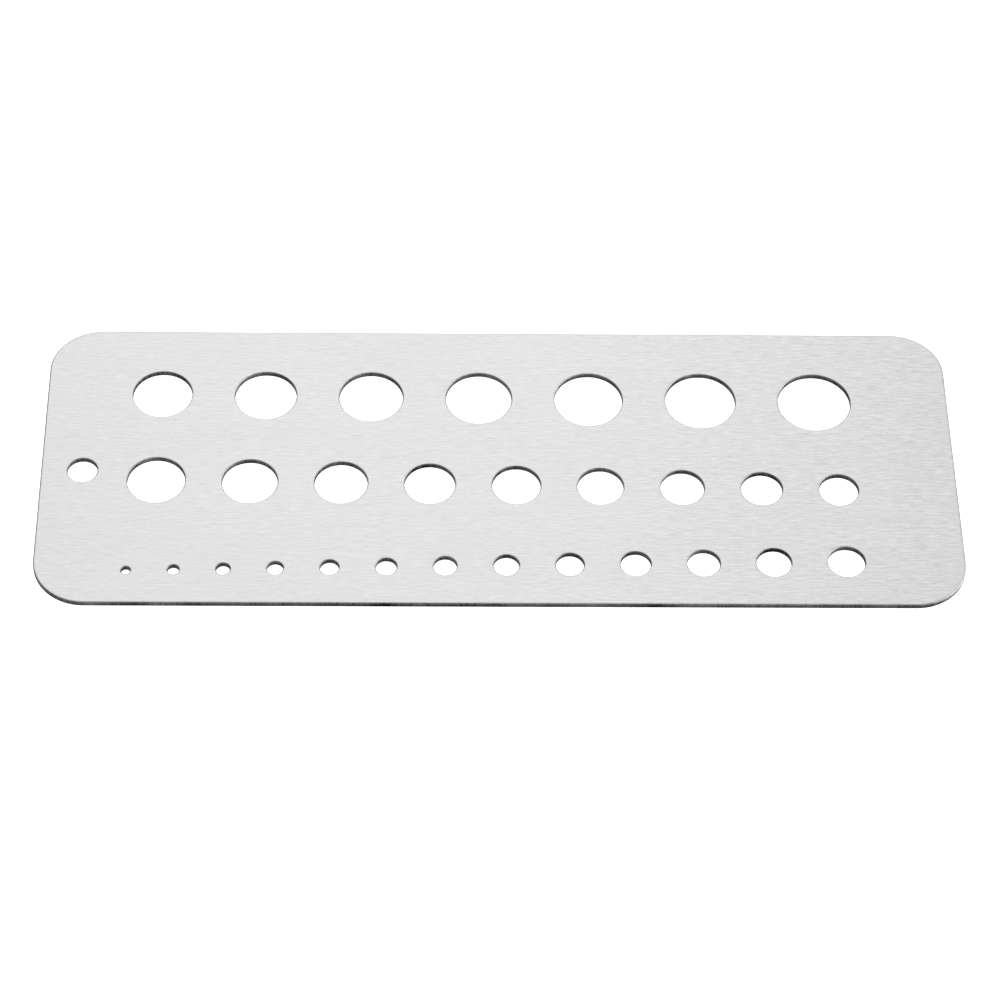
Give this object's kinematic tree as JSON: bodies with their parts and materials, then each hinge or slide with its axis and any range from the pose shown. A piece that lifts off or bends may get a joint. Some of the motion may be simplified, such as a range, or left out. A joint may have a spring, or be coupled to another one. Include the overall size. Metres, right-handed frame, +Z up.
{
  "type": "drill bit gauge",
  "caption": "Flat plate of brushed steel with rounded corners, rows of round holes that grow in steps to size drills, and a small hanging hole at one end.",
  "frame": {"origin": "centre of the plate's underside, which lies on z = 0", "axes": "+X along the length, away from the hanging hole; +Y across the width, towards the row of largest holes; +Z up, through the thickness"},
  "size_m": [0.158, 0.0606, 0.001],
  "materials": {
    "brushed_plate": "fine brushed grain along the length, bare and satin"
  },
  "bodies": {
    "root": {"gauge_plate": "brushed_plate"}
  },
  "joints": []
}
